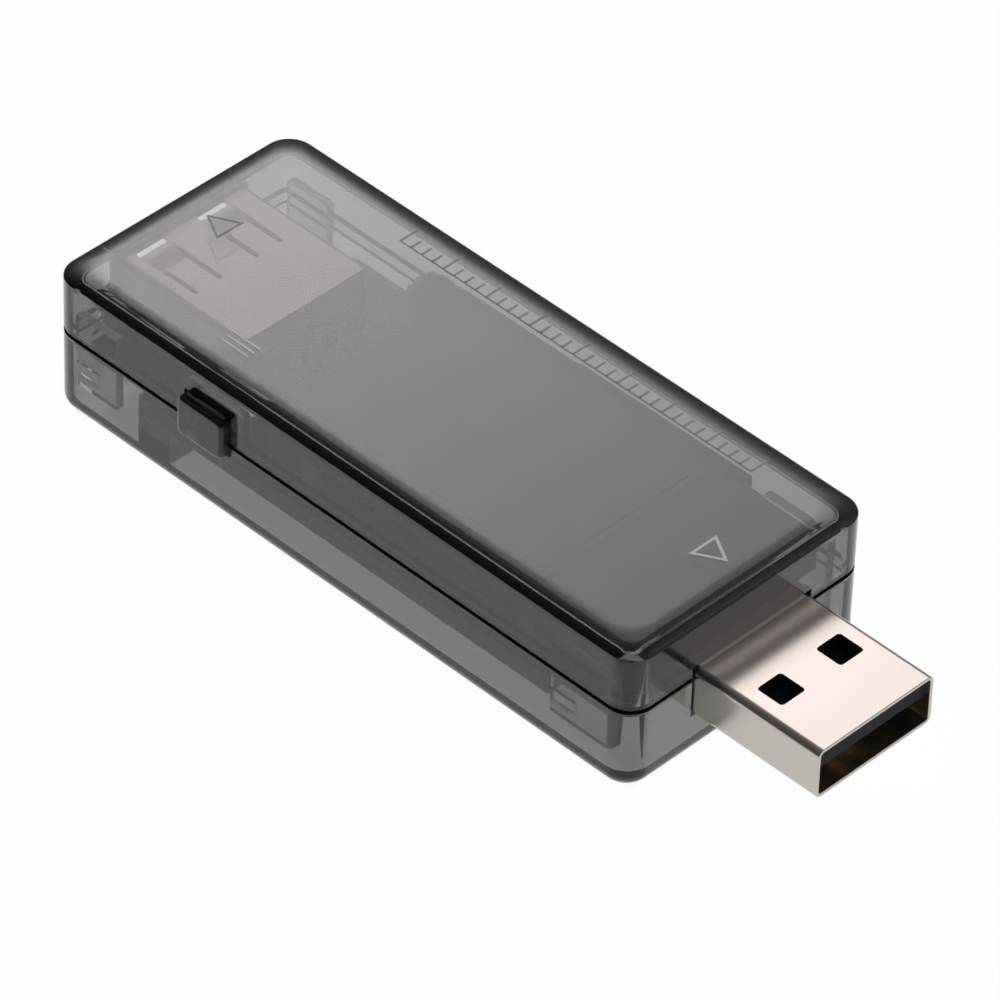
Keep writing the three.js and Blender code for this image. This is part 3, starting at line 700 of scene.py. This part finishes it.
def plug_shell():
    """Folded nickel-plated shell with punched windows and two ears soldered to the board."""
    lip = PLUG_LIP
    loops = [plug_loop(0, PLUG_LOW.x, PLUG_CORNER)]
    for turn in arc(3):
        inset = lip * (1 - math.cos(turn))
        loops.append(plug_loop(inset, PLUG_HIGH.x - lip * (1 - math.sin(turn)), PLUG_CORNER - inset))
    for turn in arc(3):
        inset = SHEET - lip * (1 - math.sin(turn))
        loops.append(plug_loop(inset, PLUG_HIGH.x - lip * (1 - math.cos(turn)), PLUG_CORNER - inset))
    loops.append(plug_loop(SHEET, PLUG_LOW.x, PLUG_CORNER - SHEET))
    shell = mesh_object("plug_shell_metal", turned(loft(loops, ring=True), ALONG_X))
    combine(shell, window_cutters(), "DIFFERENCE")
    ears = []
    for side in (-1, 1):
        ya = PLUG_Y + side * (PLUG_HALF_WIDTH - EAR_JOIN)
        yb = PLUG_Y + side * (PLUG_HALF_WIDTH + EAR_REACH)
        ears.append(block(*EAR_SPAN, min(ya, yb), max(ya, yb), BOARD_HIGH.z, BOARD_HIGH.z + SHEET))
    combine(shell, ears, "UNION")
    return finish_piece(shell, MATERIALS["nickel"], replaces=["plug_shell"])


# ------------------------------------------------------------------ socket


def socket_loop(inset, x, radius):
    """A loop round the socket's section at x, drawn in Y and Z."""
    return rounded_loop(SOCKET_Y - SOCKET_HALF_WIDTH + inset, SOCKET_Y + SOCKET_HALF_WIDTH - inset,
                        BOARD_HIGH.z + inset, SOCKET_HIGH.z - inset, radius, x, steps=8)


def finger_slot(middle):
    """The outline that frees a spring finger: a bar, two slits and two wide round-ended slots."""
    half = FINGER_WIDTH / 2 + FINGER_SLOT
    slit_start, slit_end = FINGER_TIP_X - SLIT_OVERLAP[0], FINGER_WAIST_X + SLIT_OVERLAP[1]
    rows = [(FINGER_TIP_X - FINGER_BAR, FINGER_TIP_X, -half, half, FINGER_BAR_CORNER)]
    for side in (-1, 1):
        edge = side * half
        leg = side * (FINGER_WIDTH + FINGER_SLOT) / 2
        rows.append((slit_start, slit_end, edge - SLIT_HALF, edge + SLIT_HALF, SLIT_CORNER))
        rows.append((FINGER_WAIST_X, FINGER_ROOT_X, leg - FINGER_SLOT / 2, leg + FINGER_SLOT / 2,
                     FINGER_SLOT_CORNER))
    cutters = []
    for x0, x1, y0, y1, radius in rows:
        loops = []
        for z in (SOCKET_HIGH.z - OVERSHOOT, SOCKET_HIGH.z + OVERSHOOT):
            loops.append(rounded_loop(x0, x1, middle + y0, middle + y1, radius, z, steps=5))
        cutters.append(loft(loops))
    return cutters


def eased(t):
    """Smooth step from 0 to 1."""
    t = min(max(t, 0), 1)
    return t * t * (3 - 2 * t)


def finger_dip(x):
    """How far a finger hangs below the sheet at x: a steep dip near its root, then a long rise."""
    along = (FINGER_ROOT_X - x) / (FINGER_ROOT_X - FINGER_TIP_X)
    return FINGER_SAG * min(eased(along / FINGER_FALL), eased((FINGER_END - along) / FINGER_RISE))


def on_finger(x, y, z):
    """True for a point of the socket's top sheet that belongs to a spring finger."""
    if z <= SOCKET_HIGH.z - BEND_DEPTH or not FINGER_TIP_X - BEND_SLACK < x < FINGER_ROOT_X:
        return False
    reach = FINGER_WIDTH / 2 - BEND_MARGIN
    if x < FINGER_WAIST_X - BEND_SLACK:
        reach += FINGER_SLOT
    return any(abs(y - SOCKET_Y - offset) < reach for offset in FINGER_OFFSETS)


def bend_fingers(obj):
    """Bends the freed fingers of the socket's sheet down into the mouth."""
    bm = bmesh.new()
    bm.from_mesh(obj.data)
    for k in range(FINGER_CUTS):
        x = FINGER_TIP_X + (FINGER_ROOT_X - FINGER_TIP_X) * (k + 0.5) / FINGER_CUTS
        geometry = bm.verts[:] + bm.edges[:] + bm.faces[:]
        bmesh.ops.bisect_plane(bm, geom=geometry, dist=1e-4, plane_co=(x, 0, 0), plane_no=(1, 0, 0))
    for vert in bm.verts:
        if on_finger(*vert.co):
            vert.co.z -= finger_dip(vert.co.x)
    bm.to_mesh(obj.data)
    bm.free()


def socket_flare():
    """The flared rim round the socket's mouth."""
    loops = []
    for grown, x in ((RIM_FLARE, 0), (RIM_FLARE, SHEET), (-RIM_JOIN, SHEET), (-RIM_JOIN, 0)):
        half = SOCKET_HALF_WIDTH + grown
        base = BOARD_HIGH.z + max(0, -grown)
        loops.append(rounded_loop(SOCKET_Y - half, SOCKET_Y + half, base, SOCKET_HIGH.z + grown,
                                  SOCKET_CORNER, SOCKET_LOW.x + x, steps=8))
    return turned(loft(loops, ring=True), ALONG_X)


def socket_legs():
    """Four legs that go down through the board."""
    legs = []
    for setback in LEG_PLACES:
        x = SOCKET_LOW.x + setback
        for side in (-1, 1):
            y = SOCKET_Y + side * (SOCKET_HALF_WIDTH - SHEET / 2)
            legs.append(block(x - LEG_HALF_WIDTH, x + LEG_HALF_WIDTH, y - SHEET / 2, y + SHEET / 2,
                              SOCKET_LOW.z, BOARD_HIGH.z + LEG_JOIN))
    return legs


def socket_shell():
    """Folded sheet shell with a flared mouth, two spring fingers in its top and four legs."""
    rim = SOCKET_RIM
    inner = SOCKET_CORNER - SHEET
    loops = [socket_loop(0, SOCKET_HIGH.x, SOCKET_CORNER)]
    for turn in arc(3):
        loops.append(socket_loop(rim * (1 - math.cos(turn)),
                                 SOCKET_LOW.x + rim * (1 - math.sin(turn)), SOCKET_CORNER))
    for turn in arc(3):
        loops.append(socket_loop(SHEET - rim * (1 - math.sin(turn)),
                                 SOCKET_LOW.x + rim * (1 - math.cos(turn)), inner + rim))
    loops.append(socket_loop(SHEET, SOCKET_HIGH.x, inner))
    shell = mesh_object("socket_shell_metal", turned(loft(loops, ring=True), ALONG_X))
    cutters = []
    for offset in FINGER_OFFSETS:
        cutters += finger_slot(SOCKET_Y + offset)
    combine(shell, cutters, "DIFFERENCE")
    bend_fingers(shell)
    combine(shell, [socket_flare()] + socket_legs(), "UNION")
    # The shell takes the darker copy of the nickel: painted shade.
    return finish_piece(shell, MATERIALS["shaded_nickel"], replaces=["socket_shell"])


# ------------------------------------------------------------------ markings

# Tick scale along the lid's far edge.
SCALE_START = -14.5
SCALE_END = 21.5
SCALE_BASE = 8.7
SCALE_TICKS = 33
LONG_TICK_EVERY = 4
LONG_TICK = 1.7
SHORT_TICK = 1.05
BASE_LINE_WIDTH = 0.16
TICK_WIDTH = 0.2
# Three-bar sign by the button.
BARS_X = (-15.4, -12.6)
BARS_Y = -7.6
BAR_STEP = 0.6
BAR_WIDTH = 0.2
# Arrow heads: tip and base along the case, middle and half width across it; then the line width.
PLUG_ARROW = (26.9, 24.7, 0.4, 1.25)
PLUG_ARROW_WIDTH = 0.24
SOCKET_ARROW = (-26.4, -24.1, 0.3, 1.25)
SOCKET_ARROW_WIDTH = 0.18
# A mark's faces, measured from the lid's top.
INK_LEVELS = (-0.01, 0.02)
# Limit for the mitre of a sharp corner, as the cosine of half its turn.
LEAST_MITRE = 0.3


def stroke(points, width, closed=False):
    """A flat raised line through points on the lid; the outline is mitred at each corner."""
    half = width / 2
    count = len(points)
    left, right = [], []
    for k, (x, y) in enumerate(points):
        before = points[k - 1] if closed or k > 0 else None
        after = points[(k + 1) % count] if closed or k < count - 1 else None
        here = Vector((x, y))
        into = (here - Vector(before)).normalized() if before else (Vector(after) - here).normalized()
        out = (Vector(after) - here).normalized() if after else into
        normal = Vector((-into.y - out.y, into.x + out.x)).normalized()
        reach = half / max(normal.dot(Vector((-into.y, into.x))), LEAST_MITRE)
        left.append(here + normal * reach)
        right.append(here - normal * reach)
    low, high = CASE_TOP + INK_LEVELS[0], CASE_TOP + INK_LEVELS[1]
    loops = []
    for a, b in zip(left, right):
        loops.append([(a.x, a.y, low), (b.x, b.y, low), (b.x, b.y, high), (a.x, a.y, high)])
    return loft(loops, ring=closed)


def arrow(tip, base, middle, half):
    """Outline of an arrow head along X."""
    return [(tip, middle), (base, middle + half), (base, middle - half)]


def scale_strokes():
    """A base line with short and long ticks."""
    strokes = [stroke([(SCALE_START, SCALE_BASE), (SCALE_END, SCALE_BASE)], BASE_LINE_WIDTH)]
    for k in range(SCALE_TICKS):
        x = SCALE_START + (SCALE_END - SCALE_START) * k / (SCALE_TICKS - 1)
        top = SCALE_BASE + (LONG_TICK if k % LONG_TICK_EVERY == 0 else SHORT_TICK)
        strokes.append(stroke([(x, SCALE_BASE), (x, top)], TICK_WIDTH))
    return strokes


def bar_strokes():
    """Three parallel bars."""
    strokes = []
    for k in range(3):
        y = BARS_Y - k * BAR_STEP
        strokes.append(stroke([(BARS_X[0], y), (BARS_X[1], y)], BAR_WIDTH))
    return strokes


def merged(parts):
    """One bmesh made of several, which are freed."""
    whole = bmesh.new()
    for bm in parts:
        mesh = bpy.data.meshes.new("part")
        bm.to_mesh(mesh)
        bm.free()
        whole.from_mesh(mesh)
        bpy.data.meshes.remove(mesh)
    return whole


def marks():
    """Generic marks on the lid: an arrow at each end, a tick scale and a three-bar sign."""
    plug_arrow = [stroke(arrow(*PLUG_ARROW), PLUG_ARROW_WIDTH, True)]
    socket_arrow = [stroke(arrow(*SOCKET_ARROW), SOCKET_ARROW_WIDTH, True)]
    shapes = (
        ("mark_plug_arrow", plug_arrow, "ink"),
        ("mark_socket_arrow", socket_arrow, "ink_grey"),
        ("mark_scale", scale_strokes(), "ink_grey"),
        ("mark_menu_bars", bar_strokes(), "ink"),
    )
    for name, parts, ink in shapes:
        finish_piece(mesh_object(name, merged(parts)), MATERIALS[ink])


# ------------------------------------------------------------------ CAD nodes kept or softened


def softened(node, slot, body=BODY, sides=None):
    """A copy of a CAD node with rounded edges, which replaces it. sides moves its four walls."""
    bm = bmesh.new()
    bm.from_mesh(frame["nodes"][node].data)
    bmesh.ops.scale(bm, vec=(1 / METRES,) * 3, verts=bm.verts)
    bmesh.ops.remove_doubles(bm, verts=bm.verts, dist=1e-4)
    bmesh.ops.dissolve_limit(bm, angle_limit=math.radians(1), verts=bm.verts, edges=bm.edges)
    if sides:
        low, high = box_mm(node)
        x0, x1, y0, y1 = sides
        for vert in bm.verts:
            vert.co.x = x0 + (x1 - x0) * (vert.co.x - low.x) / (high.x - low.x)
            vert.co.y = y0 + (y1 - y0) * (vert.co.y - low.y) / (high.y - low.y)
    obj = mesh_object(node + "_finish", bm)
    round_edges(obj)
    return finish_piece(obj, MATERIALS[slot], body, [node])


# Torn tape over the display's far corner: its straight corners, the start, length and mean place of
# the torn far and left edges, the range of each edge's tears, and its two heights.
TAPE_RIGHT_CORNERS = ((-5.6, 6.4), (-5.4, 8.3))
TAPE_NEAR_CORNER = (-8.9, 5.0)
TAPE_FAR_EDGE = (-5.6, 5.0, 8.75)
TAPE_LEFT_EDGE = (8.6, 3.4, -10.8)
FAR_TEARS = (-0.28, 0.22)
LEFT_TEARS = (-0.4, 0.3)
TAPE_HEIGHTS = (11.6, 11.7)


def display_tape():
    """A torn piece of tape over the display's far corner, with ragged left and far edges."""
    rng = random.Random(7)
    outline = list(TAPE_RIGHT_CORNERS)
    start, length, middle = TAPE_FAR_EDGE
    for k in range(26):
        outline.append((start - length * k / 25, middle + rng.uniform(*FAR_TEARS)))
    start, length, middle = TAPE_LEFT_EDGE
    for k in range(20):
        outline.append((middle + rng.uniform(*LEFT_TEARS), start - length * k / 19))
    outline.append(TAPE_NEAR_CORNER)
    obj = mesh_object("display_tape_torn", prism(outline, *TAPE_HEIGHTS))
    return finish_piece(obj, MATERIALS["tape"], replaces=["display_tape"])


def repaint(node, material):
    """Gives a CAD node a finished material."""
    obj = frame["nodes"][node]
    obj.data.materials.clear()
    obj.data.materials.append(MATERIALS[material])


# First and last x, near and far y of the display's flat cable, whose far edge shows through the lid.
FLEX_SIDES = (3.3, 20.8, 8.2, 9.75)


def inner_parts():
    """Everything inside the case that keeps its CAD shape."""
    slots = {row["node"]: row["material_slot"] for row in frame["record"]["subparts"]}
    done = {"top_cover", "bottom_cover", "menu_button", "plug_shell", "socket_shell", "display_tape"}
    for node, slot in slots.items():
        if node in done:
            continue
        body = PLUNGER_BODY if node == "switch_plunger" else BODY
        if node.startswith(("capacitor", "resistor", "crystal", "protection", "shunt", "switch")):
            softened(node, slot, body)
        elif node == "display_flex":
            softened(node, slot, sides=FLEX_SIDES)
        elif node.startswith("socket_contact"):
            # The socket's contacts take the darker copy of the gold: painted shade.
            repaint(node, "shaded_gold")
        else:
            repaint(node, slot)


# ------------------------------------------------------------------ stage


# Size of the table and its gap under the object, in metres.
FLOOR_HALF_SIZE = 1.5
FLOOR_DROP = 0.0001
# Glow of the table under the object, dimmed there as a painted shadow, and in the open, and how far
# inside the case's ends and sides the painted shadow stops and the brighter glow starts.
GLOW_IN_PAINTED_SHADOW = 0.81
GLOW_OPEN = 0.97
PAINTED_SHADOW_ENDS = (1.8, 0.3)
PAINTED_SHADOW_SIDES = (3, 0.5)
# The share of the glow that lights the object, near it and far from it, and the distances in
# metres between which it fades.
LIGHT_NEAR = 0.69
LIGHT_FAR = 0.05
LIGHT_FADE = (0.06, 0.11)


def floor_glow(tree):
    """Strength of the table's glow at a point, with a painted shadow under the object: what the camera
    sees of it, and what lights the object.
    """
    place = tree.nodes.new("ShaderNodeTexCoord").outputs["Object"]
    split = tree.nodes.new("ShaderNodeSeparateXYZ")
    tree.links.new(place, split.inputs["Vector"])
    shares = []
    # The glow dims inside the case's outline: a painted shadow under the object.
    for axis, edge, shade in (("X", HALF_LENGTH, PAINTED_SHADOW_ENDS), ("Y", HALF_WIDTH, PAINTED_SHADOW_SIDES)):
        distance = math_node(tree, "ABSOLUTE", split.outputs[axis])
        dark, bright = (edge - shade[0]) * METRES, (edge - shade[1]) * METRES
        shares.append(eased_spread(tree, distance, 0.0, 1.0, dark, bright))
    outside = math_node(tree, "MAXIMUM", *shares)
    glow = spread(tree, outside, GLOW_IN_PAINTED_SHADOW, GLOW_OPEN, 0.0, 1.0)
    reach = tree.nodes.new("ShaderNodeVectorMath")
    reach.operation = "LENGTH"
    tree.links.new(place, reach.inputs[0])
    fade = eased_spread(tree, reach.outputs["Value"], LIGHT_NEAR, LIGHT_FAR, *LIGHT_FADE)
    path = tree.nodes.new("ShaderNodeLightPath")
    seen = math_node(tree, "MAXIMUM", path.outputs["Is Camera Ray"], fade)
    return math_node(tree, "MULTIPLY", glow, seen)


def stage_floor():
    """A pale light table. Its glow is dimmer right under the object: a painted shadow."""
    size = FLOOR_HALF_SIZE
    mesh = bpy.data.meshes.new("floor")
    corners = [(-size, -size, 0), (size, -size, 0), (size, size, 0), (-size, size, 0)]
    mesh.from_pydata(corners, [], [(0, 1, 2, 3)])
    floor = bpy.data.objects.new("floor", mesh)
    floor.location.z = -FLOOR_DROP
    bpy.context.scene.collection.objects.link(floor)
    material, tree, shader = new_material("floor")
    shader.inputs["Base Color"].default_value = (0.1, 0.1, 0.1, 1)
    shader.inputs["Roughness"].default_value = 0.9
    shader.inputs["Specular IOR Level"].default_value = 0.0
    shader.inputs["Emission Color"].default_value = (1, 1, 1, 1)
    tree.links.new(floor_glow(tree), shader.inputs["Emission Strength"])
    mesh.materials.append(material)


CAMERA_AZIMUTH = math.radians(43.446)
CAMERA_ELEVATION = math.radians(41.142)
CAMERA_ROLL = math.radians(2.105)
CAMERA_DISTANCE = 576.789
CAMERA_TARGET = Vector((9.054, -4.354, 10.19))
FOCAL_LENGTH = 287.53
SENSOR_WIDTH = 36.0


def camera():
    """A long lens that looks down at the plug and the button's side."""
    flat = math.cos(CAMERA_ELEVATION)
    back = Vector((
        math.sin(CAMERA_AZIMUTH) * flat,
        -math.cos(CAMERA_AZIMUTH) * flat,
        math.sin(CAMERA_ELEVATION),
    ))
    right = Vector((0, 0, 1)).cross(back).normalized()
    up = back.cross(right)
    c, s = math.cos(CAMERA_ROLL), math.sin(CAMERA_ROLL)
    x_axis, y_axis = c * right + s * up, c * up - s * right
    data = bpy.data.cameras.new("camera")
    data.sensor_width = SENSOR_WIDTH
    data.lens = FOCAL_LENGTH
    data.clip_start = 0.01
    obj = bpy.data.objects.new("camera", data)
    bpy.context.scene.collection.objects.link(obj)
    place = (CAMERA_TARGET + back * CAMERA_DISTANCE) * METRES
    obj.matrix_world = Matrix((
        (x_axis.x, y_axis.x, back.x, place.x),
        (x_axis.y, y_axis.y, back.y, place.y),
        (x_axis.z, y_axis.z, back.z, place.z),
        (0, 0, 0, 1),
    ))
    bpy.context.scene.camera = obj


SOFT_BOX_SIDE = math.radians(-4)
SOFT_BOX_HEIGHT = math.radians(36.5)
SIDE_PANEL_SIDE = math.radians(90)
SIDE_PANEL_HEIGHT = math.radians(38)
# Peak radiance, width in degrees and place: the lamp's hot spot, its diffuser, the room behind
# it, and a dim panel on the plug's side.
GLOWS = (
    (3.2, 5.0, SOFT_BOX_SIDE, SOFT_BOX_HEIGHT),
    (0.7, 11.0, SOFT_BOX_SIDE, SOFT_BOX_HEIGHT),
    (0.12, 40.0, SOFT_BOX_SIDE, SOFT_BOX_HEIGHT),
    (0.55, 24.0, SIDE_PANEL_SIDE, SIDE_PANEL_HEIGHT),
)
ROOM_LIGHT = 0.05
ROOM_TINT = (1, 0.94, 0.96, 1)


def sky_direction(side, height):
    """A direction away from the camera, turned to the right by side and raised by height."""
    turn = CAMERA_AZIMUTH - side
    flat = math.cos(height)
    return Vector((-math.sin(turn) * flat, math.cos(turn) * flat, math.sin(height)))


def studio_light():
    """A soft box behind the object, with two softer glows round its hot spot, and a dim side panel."""
    world = bpy.data.worlds.new("studio")
    bpy.context.scene.world = world
    world.use_nodes = True
    tree = world.node_tree
    place = tree.nodes.new("ShaderNodeTexCoord")
    total = ROOM_LIGHT
    for peak, width, side, height in GLOWS:
        dot = tree.nodes.new("ShaderNodeVectorMath")
        dot.operation = "DOT_PRODUCT"
        dot.inputs[1].default_value = sky_direction(side, height)
        tree.links.new(place.outputs["Generated"], dot.inputs[0])
        away = math_node(tree, "SUBTRACT", dot.outputs["Value"], 1.0)
        falloff = math_node(tree, "MULTIPLY", away, 1 / math.radians(width) ** 2)
        glow = math_node(tree, "MULTIPLY", math_node(tree, "EXPONENT", falloff), peak)
        total = math_node(tree, "ADD", glow, total)
    background = tree.nodes["Background"]
    background.inputs["Color"].default_value = ROOM_TINT
    tree.links.new(total, background.inputs["Strength"])
    bpy.context.scene.view_settings.view_transform = "Standard"


# ------------------------------------------------------------------ build

top_cover()
bottom_cover()
menu_button()
plug_shell()
socket_shell()
display_tape()
marks()
inner_parts()
stage_floor()
camera()
studio_light()
